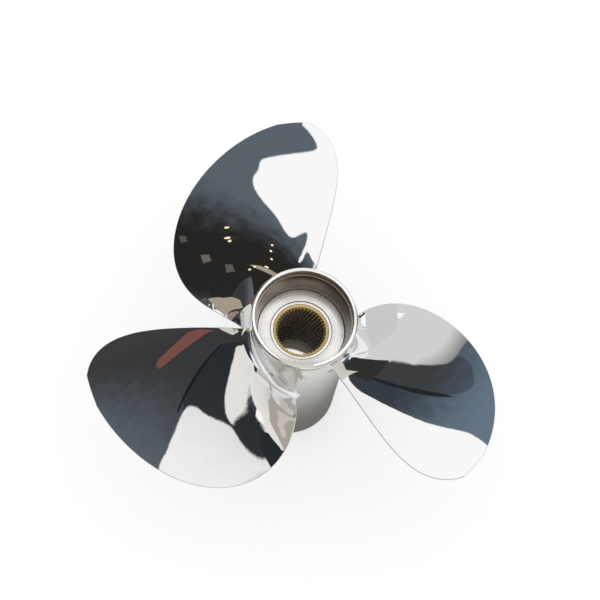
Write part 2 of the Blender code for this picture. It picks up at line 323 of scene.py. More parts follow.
def mirror_polished_stainless():
    """Investment-cast stainless steel, buffed to a mirror.

    It gives the eye hard reflections of dark and white, bent a little by the hand polishing.
    """
    made, tree = new_material("mirror_polished_stainless")
    place = add_node(tree, "ShaderNodeTexCoord").outputs["Object"]
    # Buffing leaves shallow waves about 25 mm long
    waves = add_node(tree, "ShaderNodeTexNoise", {"Scale": 40.0, "Detail": 1.0}, {"Vector": place})
    # and ripples about 7 mm long, which fray the edge of what the steel mirrors
    ripples = add_node(tree, "ShaderNodeTexNoise", {"Scale": 140.0, "Detail": 2.0}, {"Vector": place})
    relief = add_node(
        tree, "ShaderNodeMath", {"operation": "MULTIPLY_ADD", 1: 0.22},
        {0: ripples.outputs["Fac"], 2: waves.outputs["Fac"]},
    )
    # Buffing haze is 3 mm patches of slightly duller steel
    haze = add_node(tree, "ShaderNodeTexNoise", {"Scale": 300.0, "Detail": 3.0}, {"Vector": place})
    dull = add_node(
        tree, "ShaderNodeMapRange",
        {"From Min": 0.3, "From Max": 0.75, "To Min": 0.015, "To Max": 0.05},
        {"Value": haze.outputs["Fac"]},
    )
    bump = add_node(
        tree, "ShaderNodeBump", {"Strength": 0.05, "Distance": 0.002}, {"Height": relief.outputs[0]}
    )
    finish_surface(
        tree,
        {"Base Color": linear("#e6e6e6"), "Metallic": 1.0},
        {"Roughness": dull.outputs[0], "Normal": bump.outputs[0]},
    )
    return made


def satin_polished_stainless():
    """Cast stainless steel tube, belt polished round the shaft: softer reflections than the blades."""
    made, tree = new_material("satin_polished_stainless")
    place = add_node(tree, "ShaderNodeTexCoord").outputs["Object"]
    # Belt lines run round the tube, 0.4 mm apart
    stretch = add_node(tree, "ShaderNodeMapping", {"Scale": (20.0, 20.0, 2500.0)}, {"Vector": place})
    lines = add_node(
        tree, "ShaderNodeTexNoise", {"Scale": 1.0, "Detail": 2.0}, {"Vector": stretch.outputs[0]}
    )
    dull = add_node(
        tree, "ShaderNodeMapRange",
        {"From Min": 0.3, "From Max": 0.7, "To Min": 0.10, "To Max": 0.2},
        {"Value": lines.outputs["Fac"]},
    )
    bump = add_node(
        tree, "ShaderNodeBump", {"Strength": 0.04, "Distance": 0.0004}, {"Height": lines.outputs["Fac"]}
    )
    finish_surface(
        tree,
        {"Base Color": linear("#dedcda"), "Metallic": 1.0},
        {"Roughness": dull.outputs[0], "Normal": bump.outputs[0]},
    )
    return made


def distance_from_shaft(tree, place):
    """The distance of a place from the shaft's axis, and the place split into its parts."""
    split = add_node(tree, "ShaderNodeSeparateXYZ", links={0: place})
    flat = add_node(tree, "ShaderNodeCombineXYZ", links={"X": split.outputs["X"], "Y": split.outputs["Y"]})
    reach = add_node(tree, "ShaderNodeVectorMath", {"operation": "LENGTH"}, {0: flat.outputs[0]})
    return reach.outputs["Value"], split.outputs["Z"]


def ring_height(tree, place, spacing):
    """Fine tool rings round the shaft, at a spacing in metres, as a height between 0 and 1."""
    reach, height = distance_from_shaft(tree, place)
    line = add_node(tree, "ShaderNodeCombineXYZ", links={"X": reach, "Y": height})
    grain = add_node(
        tree, "ShaderNodeTexNoise", {"Scale": 1.0 / spacing, "Detail": 3.0}, {"Vector": line.outputs[0]}
    )
    return grain.outputs["Fac"]


def turned_stainless(name, colour, dark, low, high):
    """Stainless steel cut on a lathe. Fine rings spread the light to a pale, silky face."""
    made, tree = new_material(name)
    place = add_node(tree, "ShaderNodeTexCoord").outputs["Object"]
    # Real feed lines are 0.1 mm apart, drawn at 0.5 mm so that they show
    rings = ring_height(tree, place, 0.5 * MM)
    cloud = add_node(tree, "ShaderNodeTexNoise", {"Scale": 60.0, "Detail": 3.0}, {"Vector": place})
    tone = blend(tree, cloud.outputs["Fac"], colour, dark)
    dull = add_node(
        tree, "ShaderNodeMapRange",
        {"From Min": 0.3, "From Max": 0.7, "To Min": low, "To Max": high},
        {"Value": rings},
    )
    bump = add_node(tree, "ShaderNodeBump", {"Strength": 0.12, "Distance": 0.0003}, {"Height": rings})
    finish_surface(
        tree,
        {"Metallic": 1.0},
        {"Base Color": tone, "Roughness": dull.outputs[0], "Normal": bump.outputs[0]},
    )
    return made


def machined_brass():
    """Free-cutting brass, turned at the mouth: bright yellow metal with fine rings."""
    made, tree = new_material("machined_brass")
    place = add_node(tree, "ShaderNodeTexCoord").outputs["Object"]
    # Real feed lines are 0.1 mm apart, drawn at 0.4 mm so that they show
    rings = ring_height(tree, place, 0.4 * MM)
    dull = add_node(
        tree, "ShaderNodeMapRange",
        {"From Min": 0.3, "From Max": 0.7, "To Min": 0.16, "To Max": 0.32},
        {"Value": rings},
    )
    bump = add_node(tree, "ShaderNodeBump", {"Strength": 0.1, "Distance": 0.0003}, {"Height": rings})
    finish_surface(
        tree,
        {"Base Color": linear("#cfa650"), "Metallic": 1.0},
        {"Roughness": dull.outputs[0], "Normal": bump.outputs[0]},
    )
    return made


def pale_highlight_brass():
    """Brass on the sleeve's chamfer, painted pale cream as a highlight: the brightest, palest brass, like a
    thin cream ring.
    """
    made, tree = new_material("pale_highlight_brass")
    place = add_node(tree, "ShaderNodeTexCoord").outputs["Object"]
    # Real feed lines are 0.1 mm apart, drawn at 0.4 mm so that they show
    rings = ring_height(tree, place, 0.4 * MM)
    dull = add_node(
        tree, "ShaderNodeMapRange",
        {"From Min": 0.3, "From Max": 0.7, "To Min": 0.3, "To Max": 0.45},
        {"Value": rings},
    )
    finish_surface(tree, {"Base Color": linear("#f7e6b8"), "Metallic": 0.4}, {"Roughness": dull.outputs[0]})
    return made


def bored_brass(name, root_shade_colour, tip_colour):
    """Brass inside the bore, dulled by grease to a brown-grey; the darker roots of the splines are painted
    shade, the tips paler.
    """
    made, tree = new_material(name)
    place = add_node(tree, "ShaderNodeTexCoord").outputs["Object"]
    reach, _ = distance_from_shaft(tree, place)
    rise = add_node(
        tree, "ShaderNodeMapRange",
        {"From Min": SPLINE_ROOT_RADIUS, "From Max": SPLINE_TIP_RADIUS},
        {"Value": reach},
    )
    # Painted shade: the roots of the splines are darker than the tips
    tone = blend(tree, rise.outputs[0], root_shade_colour, tip_colour)
    # Broach marks run along the bore, 1 mm apart
    stretch = add_node(tree, "ShaderNodeMapping", {"Scale": (1000.0, 1000.0, 60.0)}, {"Vector": place})
    streaks = add_node(
        tree, "ShaderNodeTexNoise", {"Scale": 1.0, "Detail": 2.0}, {"Vector": stretch.outputs[0]}
    )
    dull = add_node(
        tree, "ShaderNodeMapRange",
        {"From Min": 0.3, "From Max": 0.7, "To Min": 0.35, "To Max": 0.55},
        {"Value": streaks.outputs["Fac"]},
    )
    finish_surface(tree, {"Metallic": 0.3}, {"Base Color": tone, "Roughness": dull.outputs[0]})
    return made


def moulded_rubber():
    """Moulded nitrile rubber: dull black with a faint bloom."""
    made, tree = new_material("moulded_nitrile_rubber")
    place = add_node(tree, "ShaderNodeTexCoord").outputs["Object"]
    bloom = add_node(tree, "ShaderNodeTexNoise", {"Scale": 200.0, "Detail": 4.0}, {"Vector": place})
    tone = blend(tree, bloom.outputs["Fac"], "#1b1b1c", "#2c2c2d")
    bump = add_node(
        tree, "ShaderNodeBump", {"Strength": 0.2, "Distance": 0.0003}, {"Height": bloom.outputs["Fac"]}
    )
    finish_surface(tree, {"Roughness": 0.7}, {"Base Color": tone, "Normal": bump.outputs[0]})
    return made


def new_piece(name, mesh, material, nodes):
    """A piece of the propeller that stands for CAD nodes and rides on the root."""
    obj = bpy.data.objects.new(name, mesh)
    bpy.context.scene.collection.objects.link(obj)
    mesh.materials.append(material)
    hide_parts(*nodes)
    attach(obj, ROOT)
    return obj


def grid_mesh(name, rings, closed_rings, closed_ends):
    """A mesh from rings of points, each ring closed on itself. The ring list may close on itself too."""
    count = len(rings[0])
    points = [tuple(point) for ring in rings for point in ring]
    faces = []
    last = len(rings) if closed_rings else len(rings) - 1
    for row in range(last):
        below = row * count
        above = ((row + 1) % len(rings)) * count
        for index in range(count):
            after = (index + 1) % count
            faces.append((below + index, below + after, above + after, above + index))
    if closed_ends:
        faces.append(tuple((len(rings) - 1) * count + index for index in range(count)))
    mesh = bpy.data.meshes.new(name)
    mesh.from_pydata(points, [], faces)
    made = bmesh.new()
    made.from_mesh(mesh)
    bmesh.ops.recalc_face_normals(made, faces=made.faces)
    made.to_mesh(mesh)
    made.free()
    mesh.shade_smooth()
    return mesh


def rounded(profile):
    """A closed profile with its corners rounded. Each point is (radius, height, corner radius)."""
    path = []
    count = len(profile)
    for index, (radius, height, corner) in enumerate(profile):
        here = Vector((radius, height))
        if corner <= 0:
            path.append(here)
            continue
        before = Vector(profile[index - 1][:2]) - here
        after = Vector(profile[(index + 1) % count][:2]) - here
        before.normalize()
        after.normalize()
        half = before.angle(after) / 2
        reach = corner / math.tan(half)
        centre = here + (before + after).normalized() * (corner / math.sin(half))
        start = here + before * reach
        turn = before.angle_signed(after)
        sweep = (math.pi - abs(turn)) * (1 if turn > 0 else -1)
        arm = start - centre
        for step in range(CORNER_STEPS + 1):
            angle = sweep * step / CORNER_STEPS
            cosine, sine = math.cos(angle), math.sin(angle)
            path.append(centre + Vector((arm.x * cosine - arm.y * sine, arm.x * sine + arm.y * cosine)))
    return [(point.x, point.y) for point in path]


def split_long(path, longest):
    """The closed path with points added so that no side is longer than this."""
    result = []
    for index, point in enumerate(path):
        after = path[(index + 1) % len(path)]
        pieces = max(1, math.ceil(math.dist(point, after) / longest))
        for step in range(pieces):
            share = step / pieces
            result.append(tuple(a + (b - a) * share for a, b in zip(point, after)))
    return result


def turned_mesh(name, profile):
    """A closed ring turned round the shaft from a profile, with heights from the forward end."""
    path = split_long(rounded(profile), LONGEST_FACE)
    turns = [2 * math.pi * step / ROUND_STEPS for step in range(ROUND_STEPS)]
    rings = []
    for radius, height in path:
        up = height - BALANCE_HEIGHT
        rings.append([(radius * math.cos(turn), radius * math.sin(turn), up) for turn in turns])
    mesh = grid_mesh(name, rings, True, False)
    mesh.set_sharp_from_angle(angle=SHARP_ANGLE)
    return mesh


def hub_barrel(steel, shaded_wall_steel):
    """The hub's outer tube with its flared, stepped rim and the vent hole."""
    inner = HUB_RADIUS - HUB_WALL
    land = RIM_RADIUS - RIM_LAND
    profile = [
        (RIM_RADIUS, HUB_LENGTH, RIM_ROUNDING),
        (RIM_RADIUS, HUB_LENGTH - RIM_FLARE / 3, FLARE_TOP_ROUNDING),
        (HUB_RADIUS, HUB_LENGTH - RIM_FLARE, FLARE_FOOT_ROUNDING),
        (HUB_RADIUS, 0, RIM_ROUNDING),
        (inner, 0, TUBE_ROUNDING),
        (inner, HUB_LENGTH - RECESS_DEPTH, 0),
        (RECESS_MOUTH_RADIUS, HUB_LENGTH - RIM_STEP_DEPTH, CORNER_BREAK),
        (land, HUB_LENGTH - RIM_STEP_DEPTH, STEP_ROUNDING),
        (land, HUB_LENGTH, LAND_ROUNDING),
    ]
    mesh = turned_mesh("hub_barrel", profile)
    obj = new_piece("hub_barrel", mesh, steel, ["barrel"])
    mesh.materials.append(shaded_wall_steel)
    # Faces inside the land, in the recess, take the darker steel as painted shade
    limit = (land + SURFACE_MARGIN) ** 2
    for face in mesh.polygons:
        if face.center.x**2 + face.center.y**2 < limit:
            face.material_index = 1
    drill_vent(obj)


def drill_vent(obj):
    """Cuts the vent hole through the tube's wall and keeps the result as the mesh."""
    drill = bpy.data.meshes.new("vent_drill")
    made = bmesh.new()
    bmesh.ops.create_cone(
        made, cap_ends=True, segments=DRILL_SIDES, radius1=VENT_RADIUS, radius2=VENT_RADIUS,
        depth=4 * HUB_WALL,
    )
    made.to_mesh(drill)
    made.free()
    cutter = bpy.data.objects.new("vent_drill", drill)
    bpy.context.scene.collection.objects.link(cutter)
    reach = HUB_RADIUS - HUB_WALL / 2
    height = HUB_LENGTH - VENT_DEPTH - BALANCE_HEIGHT
    cutter.location = (reach * math.cos(VENT_ANGLE), reach * math.sin(VENT_ANGLE), height)
    cutter.rotation_euler = (0, math.pi / 2, VENT_ANGLE)
    cut = obj.modifiers.new("vent", "BOOLEAN")
    cut.object = cutter
    cut.operation = "DIFFERENCE"
    cut.solver = "EXACT"
    graph = bpy.context.evaluated_depsgraph_get()
    drilled = bpy.data.meshes.new_from_object(obj.evaluated_get(graph))
    obj.modifiers.clear()
    obj.data = drilled
    bpy.data.objects.remove(cutter)


def recess_floor(steel):
    """The ring whose turned aft face is the floor of the recess."""
    outer = HUB_RADIUS - HUB_WALL - FIT_GAP / 3
    face = HUB_LENGTH - RECESS_DEPTH
    bore = CARRIER_RADIUS + FIT_GAP
    neck = CARRIER_NECK_RADIUS + FIT_GAP
    profile = [
        (outer, face, FLOOR_ROUNDING),
        (outer, FORWARD_RECESS, FLOOR_ROUNDING),
        (bore, FORWARD_RECESS, FLOOR_ROUNDING),
        (bore, face - SHOULDER, 0),
        (neck, face - SHOULDER, 0),
        (neck, face, SEAM_ROUNDING),
    ]
    mesh = turned_mesh("recess_floor", profile)
    new_piece("recess_floor", mesh, steel, ["inner_hub"])


def bush_shell(steel):
    """The shell of the rubber bush, whose neck shows inside the recess floor."""
    face = HUB_LENGTH - RECESS_DEPTH - FIT_GAP
    shoulder = HUB_LENGTH - RECESS_DEPTH - SHOULDER - FIT_GAP
    foot = HUB_LENGTH - RECESS_DEPTH - SLEEVE_LENGTH
    profile = [
        (CARRIER_NECK_RADIUS, face, NECK_ROUNDING),
        (CARRIER_NECK_RADIUS, shoulder, 0),
        (CARRIER_RADIUS, shoulder, 0),
        (CARRIER_RADIUS, foot, 0),
        (CARRIER_RADIUS - CARRIER_WALL, foot, 0),
        (CARRIER_RADIUS - CARRIER_WALL, shoulder - CARRIER_WALL, 0),
        (SLEEVE_RADIUS + FIT_GAP / 2, shoulder - CARRIER_WALL, 0),
        (SLEEVE_RADIUS + FIT_GAP / 2, face, STEP_ROUNDING),
    ]
    mesh = turned_mesh("bush_shell", profile)
    new_piece("bush_shell", mesh, steel, ["bush_carrier"])


def bush_rubber(rubber):
    """The rubber between the shell and the sleeve."""
    top = HUB_LENGTH - RECESS_DEPTH - SHOULDER - CARRIER_WALL - 2 * FIT_GAP
    foot = HUB_LENGTH - RECESS_DEPTH - SLEEVE_LENGTH
    outer = CARRIER_RADIUS - CARRIER_WALL - FIT_GAP
    inner = SLEEVE_RADIUS + FIT_GAP
    profile = [
        (outer, top, 0),
        (outer, foot, RUBBER_ROUNDING),
        (inner, foot, RUBBER_ROUNDING),
        (inner, top, 0),
    ]
    mesh = turned_mesh("bush_rubber", profile)
    new_piece("bush_rubber", mesh, rubber, ["rubber_bush"])


def keeper_ring(steel):
    """The flat ring in the forward recess that keeps the bush in the hub."""
    top = HUB_LENGTH - RECESS_DEPTH - SLEEVE_LENGTH - FIT_GAP
    foot = top - RING_THICKNESS
    profile = [
        (CARRIER_RADIUS, top, CORNER_BREAK),
        (CARRIER_RADIUS, foot, TUBE_ROUNDING),
        (SLEEVE_MOUTH_RADIUS, foot, TUBE_ROUNDING),
        (SLEEVE_MOUTH_RADIUS, top, CORNER_BREAK),
    ]
    mesh = turned_mesh("keeper_ring", profile)
    new_piece("keeper_ring", mesh, steel, ["retaining_ring"])


def spline_sleeve(face_brass, chamfer_highlight_brass, groove_shaded_brass, bore_brass):
    """The brass sleeve: a chamfered mouth, helical splines with rounded teeth, and a plain far end."""
    face = HUB_LENGTH - RECESS_DEPTH - BALANCE_HEIGHT
    foot = face - SLEEVE_LENGTH
    corners = []
    for index in range(SPLINES):
        for share, rise in zip(TOOTH_SHARES, TOOTH_RISES):
            corners.append((2 * math.pi * (index + share) / SPLINES, rise))

    def ring(height, radius=None):
        points = []
        lead_turn = 2 * math.pi * (face - height) / SPLINE_LEAD
        for angle, rise in corners:
            reach = radius
            if radius is None:
                reach = SPLINE_ROOT_RADIUS + (SPLINE_TIP_RADIUS - SPLINE_ROOT_RADIUS) * rise
            turn = angle + lead_turn
            points.append((reach * math.cos(turn), reach * math.sin(turn), height))
        return points

    rings = []
    looks = []
    for step in range(TOOTH_STEPS + 1):
        rings.append(ring(foot + (face - CORNER_BREAK - foot) * step / TOOTH_STEPS, SLEEVE_RADIUS))
        looks.append(0)
    rings.append(ring(face, SLEEVE_RADIUS - CORNER_BREAK))
    looks.append(0)
    # The chamfer ring takes the pale brass, a painted highlight
    rings.append(ring(face, SLEEVE_MOUTH_RADIUS + SLEEVE_CHAMFER))
    looks.append(1)
    rings.append(ring(face - SLEEVE_CHAMFER, SLEEVE_MOUTH_RADIUS))
    looks.append(0)
    top = face - MOUTH_DEPTH
    rings.append(ring(top, SLEEVE_MOUTH_RADIUS))
    looks.append(0)
    start = top - CORNER_BREAK
    for step in range(TOOTH_STEPS + 1):
        rings.append(ring(start + (foot + SPLINE_END - start) * step / TOOTH_STEPS))
        looks.append(2)
    looks[-1] = 3
    rings.append(ring(foot + SPLINE_END, SPLINE_ROOT_RADIUS))
    looks.append(3)
    rings.append(ring(foot, SPLINE_ROOT_RADIUS))
    looks.append(0)
    mesh = grid_mesh("spline_sleeve_brass", rings, True, False)
    mesh.set_sharp_from_angle(angle=SHARP_ANGLE)
    new_piece("brass_sleeve", mesh, face_brass, ["spline_sleeve"])
    for brass in (chamfer_highlight_brass, groove_shaded_brass, bore_brass):
        mesh.materials.append(brass)
    for index, polygon in enumerate(mesh.polygons):
        polygon.material_index = looks[index // len(corners)]


def edge_angles(radius, root_angle, curve):
    """The angle of a blade's edge at each radius."""
    reach = np.clip((radius - HUB_RADIUS) / (TIP_RADIUS - HUB_RADIUS), 0, 1)
    inward, round_off = curve
    return TIP_ANGLE + (root_angle - TIP_ANGLE) * (1 - reach**inward) ** round_off


def face_heights(radius, angle):
    """The height of the blade's aft face above the hub's forward end."""
    out = radius - MEAN_RADIUS
    lead = LEAD + LEAD_GROWTH * out
    hollow = HOLLOW + HOLLOW_GROWTH * out
    lift = EDGE_LIFT + EDGE_LIFT_GROWTH * out
    middle = HUB_LENGTH - MIDDLE_DROP + RAKE * out
    near = np.exp((HUB_RADIUS - radius) / ROOT_FADE)
    root = ROOT_LEAD * angle + ROOT_CROWN * angle**2 + ROOT_DIP * angle**3
    return middle - lead * angle + hollow * angle**2 + lift * angle**3 - near * root


def blade_radii():
    """Radii from the hub to the tip, close together in the fillet and near the tip."""
    inner = HUB_RADIUS + FILLET * (np.arange(FILLET_STEPS) / FILLET_STEPS) ** 2
    first = HUB_RADIUS + FILLET
    share = np.sin(math.pi / 2 * np.arange(SPAN_STEPS + 1) / SPAN_STEPS)
    outer = first + (TIP_RADIUS - EDGE_INSET - first) * np.minimum(share, TIP_SHARE)
    return np.concatenate([inner, outer])


def blade_piece(name, steel):
    """One blade with rounded edges, its root spread to meet the hub in a smooth fillet."""
    radius = blade_radii()[:, None]
    across = (1 - np.cos(math.pi * np.arange(CHORD_STEPS + 1) / CHORD_STEPS))[None, :] / 2
    aft = edge_angles(radius, AFT_EDGE_ANGLE, AFT_EDGE_CURVE) + EDGE_INSET / radius
    forward = edge_angles(radius, FORWARD_EDGE_ANGLE, FORWARD_EDGE_CURVE) - EDGE_INSET / radius
    angle = aft + (forward - aft) * across
    reach = radius + 0 * angle
    height = face_heights(reach, angle)
    climb = face_heights(reach, angle + SLOPE_STEP) - face_heights(reach, angle - SLOPE_STEP)
    run = 2 * SLOPE_STEP * reach
    length = np.hypot(climb, run)
    normal = np.stack([-climb / length, run / length])
    along = np.stack([run / length, climb / length])
    clear = np.maximum(reach - HUB_RADIUS, 0)
    spread = FILLET - np.sqrt(np.maximum(FILLET**2 - np.maximum(FILLET - clear, 0) ** 2, 0))
    middle = np.sqrt(4 * across * (1 - across))
    rise = spread * (FILLET_END_SHARE + (1 - FILLET_END_SHARE) * middle)
    push = rise * (2 * across - 1)
    share = np.clip((reach - HUB_RADIUS) / (TIP_RADIUS - HUB_RADIUS), 0, 1)
    thickest = ROOT_THICKNESS + (TIP_THICKNESS - ROOT_THICKNESS) * share
    thickness = EDGE_THICKNESS + (thickest - EDGE_THICKNESS) * middle ** (2 * THICKNESS_CURVE)
    sides = []
    for offset in (rise, -thickness - rise):
        around = angle * reach + offset * normal[0] + push * along[0]
        up = height + offset * normal[1] + push * along[1]
        turn = around / reach + math.radians(BLADE_ANGLES[name])
        sides.append(np.stack([reach * np.cos(turn), reach * np.sin(turn), up - BALANCE_HEIGHT], axis=-1))
    face, back = sides
    forward_edge = rounded_edge(face[:, -1], back[:, -1], face[:, -2])
    aft_edge = rounded_edge(back[:, 0], face[:, 0], face[:, 1])
    rings = np.concatenate([face, forward_edge, back[:, ::-1], aft_edge], axis=1)
    centre = rings[-1].mean(axis=0)
    outward = centre * (1, 1, 0) / np.linalg.norm(centre[:2])
    caps = []
    for step in range(1, EDGE_STEPS):
        turn = math.pi / 2 * step / EDGE_STEPS
        caps.append(centre + (rings[-1] - centre) * math.cos(turn) + outward * EDGE_ROUNDING * math.sin(turn))
    mesh = grid_mesh(name, [*rings, *caps], False, True)
    new_piece(name, mesh, steel, [BLADE_NODES[name]])


def rounded_edge(start, end, inward_point):
    """Points round the thin edge of a blade from one face to the other, at every radius."""
    middle = (start + end) / 2
    half = (start - end) / 2
    course = np.gradient(middle, axis=0)
    outward = np.cross(course, half)
    outward /= np.maximum(np.linalg.norm(outward, axis=1, keepdims=True), TINY)
    side = np.sign(((middle - inward_point) * outward).sum(axis=1, keepdims=True))
    outward *= np.where(side == 0, 1, side)
    points = []
    for step in range(1, EDGE_STEPS):
        turn = math.pi * step / EDGE_STEPS
        points.append(middle + half * math.cos(turn) + outward * EDGE_ROUNDING * math.sin(turn))
    return np.stack(points, axis=1)


def emission(name, colour, strength):
    made, tree = new_material(name)
    light = add_node(tree, "ShaderNodeEmission", {"Color": linear(colour), "Strength": strength})
    add_node(tree, "ShaderNodeOutputMaterial", links={"Surface": light.outputs[0]})
    return made


def only_in_reflections(obj):
    obj.visible_camera = False
    obj.visible_diffuse = False
    obj.visible_transmission = False
    obj.visible_volume_scatter = False
    obj.visible_shadow = False


def studio_dome():
    """The room round the table, seen only as reflections: pale at table height and dark above."""
    mesh = bpy.data.meshes.new("studio_dome")
    made = bmesh.new()
    bmesh.ops.create_uvsphere(made, u_segments=64, v_segments=32, radius=DOME_RADIUS)
    made.to_mesh(mesh)
    made.free()
    mesh.shade_smooth()
    room, tree = new_material("dark_room")
    place = add_node(tree, "ShaderNodeTexCoord").outputs["Object"]
    away = add_node(tree, "ShaderNodeVectorMath", {"operation": "NORMALIZE"}, {0: place}).outputs[0]
    tone = None
    for tilt, azimuth, wide, soft, colour in ROOM_PATCHES:
        tone = room_patch(tree, away, tilt, azimuth, wide, soft, colour, tone)
    split = add_node(tree, "ShaderNodeSeparateXYZ", links={0: away})
    band = add_node(
        tree, "ShaderNodeMapRange",
        {"interpolation_type": "SMOOTHSTEP", "From Min": HORIZON_TOP, "From Max": HORIZON_FOOT},
        {"Value": split.outputs["Z"]},
    )
    pale = add_node(tree, "ShaderNodeMix", {"data_type": "RGBA"}, {"Factor": band.outputs[0]})
    tree.links.new(tone, pale.inputs[6])
    pale.inputs[7].default_value = linear(HORIZON_COLOUR)
    light = add_node(tree, "ShaderNodeEmission", links={"Color": pale.outputs[2]})
    add_node(tree, "ShaderNodeOutputMaterial", links={"Surface": light.outputs[0]})
    place_card("studio_dome", mesh, room, Matrix())


def room_patch(tree, away, tilt, azimuth, wide, soft, colour, under):
    """Blends a round patch of colour, as wide and as soft as given in degrees, over what is under it."""
    facing = add_node(
        tree, "ShaderNodeVectorMath", {"operation": "DOT_PRODUCT", 1: heading_of(tilt, azimuth)}, {0: away}
    )
    share = add_node(
        tree, "ShaderNodeMapRange",
        {
            "interpolation_type": "SMOOTHSTEP",
            "From Min": math.cos(math.radians(wide + soft)),
            "From Max": math.cos(math.radians(wide - soft)),
        },
        {"Value": facing.outputs["Value"]},
    )
    mix = add_node(tree, "ShaderNodeMix", {"data_type": "RGBA"}, {"Factor": share.outputs[0]})
    if under is None:
        mix.inputs[6].default_value = linear(ROOM_COLOUR)
    else:
        tree.links.new(under, mix.inputs[6])
    mix.inputs[7].default_value = linear(colour)
    return mix.outputs[2]


def heading_of(tilt, azimuth):
    """The unit vector at a tilt from straight up, at an azimuth from +X."""
    lean, around = math.radians(tilt), math.radians(azimuth)
    return Vector((math.sin(lean) * math.cos(around), math.sin(lean) * math.sin(around), math.cos(lean)))


def far_panel(name, colour, strength, corners, layer):
    """A wall or curtain far away in the room, seen only as a reflection in the steel."""
    reach = DOME_RADIUS - PANEL_GAP - PANEL_STEP * layer
    points = [heading_of(tilt, azimuth) * reach for tilt, azimuth in corners]
    reflected_card(name, points, emission(name, colour, strength), Matrix())


def board_look(name, tones):
    """Light from a board whose colour changes from left to right in mottled patches, soft at its edge."""
    left, right, start, end = tones
    made, tree = new_material(name)
    place = add_node(tree, "ShaderNodeTexCoord").outputs["Object"]
    split = add_node(tree, "ShaderNodeSeparateXYZ", links={0: place})
    patches = add_node(tree, "ShaderNodeTexNoise", {"Scale": 90.0, "Detail": 6.0}, {"Vector": place})
    across = add_node(
        tree, "ShaderNodeMath", {"operation": "MULTIPLY_ADD", 1: BOARD_MOTTLE},
        {0: patches.outputs["Fac"], 2: split.outputs["X"]},
    )
    share = add_node(
        tree, "ShaderNodeMapRange",
        {
            "interpolation_type": "SMOOTHSTEP",
            "From Min": start * MM + BOARD_MOTTLE / 2,
            "From Max": end * MM + BOARD_MOTTLE / 2,
        },
        {"Value": across.outputs[0]},
    )
    tone = blend(tree, share.outputs[0], left, right)
    light = add_node(tree, "ShaderNodeEmission", {"Strength": BOARD_STRENGTH}, {"Color": tone})
    cover = add_node(tree, "ShaderNodeAttribute", {"attribute_name": "cover"})
    clear = add_node(tree, "ShaderNodeBsdfTransparent")
    covered = add_node(
        tree, "ShaderNodeMixShader",
        links={0: cover.outputs["Fac"], 1: clear.outputs[0], 2: light.outputs[0]},
    )
    add_node(tree, "ShaderNodeOutputMaterial", links={"Surface": covered.outputs[0]})
    return made


def board_place(view, distance):
    """The place of a board that faces one blade, as a matrix."""
    blade_angle, tilt, azimuth = BOARD_VIEWS[view]
    around = math.radians(blade_angle)
    middle = Vector((BLADE_MIDDLE * math.cos(around), BLADE_MIDDLE * math.sin(around), BLADE_MIDDLE_HEIGHT))
    away = heading_of(tilt, azimuth)
    side = Vector((0, 0, 1)).cross(away).normalized()
    up = away.cross(side)
    place = Matrix((side, up, away)).transposed().to_4x4()
    place.translation = middle + away * (distance * MM)
    return place


def flowing_outline(corners):
    """The same outline with its corners cut off twice, which makes it flow."""
    for _ in range(2):
        after = corners[1:] + corners[:1]
        corners = [start.lerp(end, share) for start, end in zip(corners, after) for share in CORNER_CUTS]
    return corners


def studio_board(name, view, distance, tones, corners):
    """A flat board with a soft edge, facing one blade, seen only as a reflection in the steel."""
    outline = flowing_outline([Vector((x * MM, y * MM, 0)) for x, y in corners])
    count = len(outline)
    area = sum(outline[i - 1].x * outline[i].y - outline[i].x * outline[i - 1].y for i in range(count))
    soft = HALO_SOFTNESS if "halo" in name else BOARD_SOFTNESS
    inner, outer = [], []
    for index, point in enumerate(outline):
        along = (outline[(index + 1) % count] - outline[index - 1]).normalized()
        outward = Vector((along.y, -along.x, 0)) * math.copysign(soft / 2, area)
        inner.append(point - outward)
        outer.append(point + outward)
    mesh = bpy.data.meshes.new(name)
    faces = [tuple(range(count))]
    for index in range(count):
        after = (index + 1) % count
        faces.append((index, after, count + after, count + index))
    mesh.from_pydata([tuple(point) for point in inner + outer], [], faces)
    cover = mesh.attributes.new("cover", "FLOAT", "POINT")
    cover.data.foreach_set("value", [1.0] * count + [0.0] * count)
    place_card(name, mesh, board_look(name, tones), board_place(view, distance))


def circle(radius, steps, height=0.0):
    """Points on a circle round the Z axis."""
    turns = [2 * math.pi * step / steps for step in range(steps)]
    return [(radius * math.cos(turn), radius * math.sin(turn), height) for turn in turns]


def warm_lamps():
    look = emission("warm_lamp", LAMP_COLOUR, LAMP_STRENGTH)
    for index, (x, y, z, size) in enumerate(LAMPS):
        half = size / 2 * MM
        points = [(half * across, LAMP_HALF_WIDTH * up, 0) for across, up, _ in circle(1, LAMP_STEPS)]
        reflected_card("warm_lamp_%d" % (index + 1), points, look, Matrix.Translation(Vector((x, y, z)) * MM))


def near_cards():
    for name, colour, height, corners in NEAR_CARDS:
        points = [(x * MM, y * MM, height * MM) for x, y in corners]
        reflected_card(name, points, emission(name, colour, 1.0), Matrix())
    side, start, end, low, high = ROOT_CARD
    points = [(start, side, low), (start, side, high), (end, side, high), (end, side, low)]
    reflected_card("right_root_card", points, emission("right_root_card", ROOT_CARD_COLOUR, 1.0), Matrix())


def floor_shade():
    """The shade that the propeller casts round its foot, seen only in the polished tube."""
    made, tree = new_material("floor_shade")
    place = add_node(tree, "ShaderNodeTexCoord").outputs["Object"]
    reach = add_node(tree, "ShaderNodeVectorMath", {"operation": "LENGTH"}, {0: place})
    share = add_node(
        tree, "ShaderNodeMapRange",
        {"interpolation_type": "SMOOTHSTEP", "From Min": SHADE_START, "From Max": SHADE_END},
        {"Value": reach.outputs["Value"]},
    )
    tone = blend(tree, share.outputs[0], "#7b7975", "#ffffff")
    light = add_node(tree, "ShaderNodeEmission", links={"Color": tone})
    add_node(tree, "ShaderNodeOutputMaterial", links={"Surface": light.outputs[0]})
    lift = Matrix.Translation((0, 0, SHADE_LIFT - BALANCE_HEIGHT))
    reflected_card("floor_shade", circle(SHADE_RADIUS, CIRCLE_STEPS), made, lift)


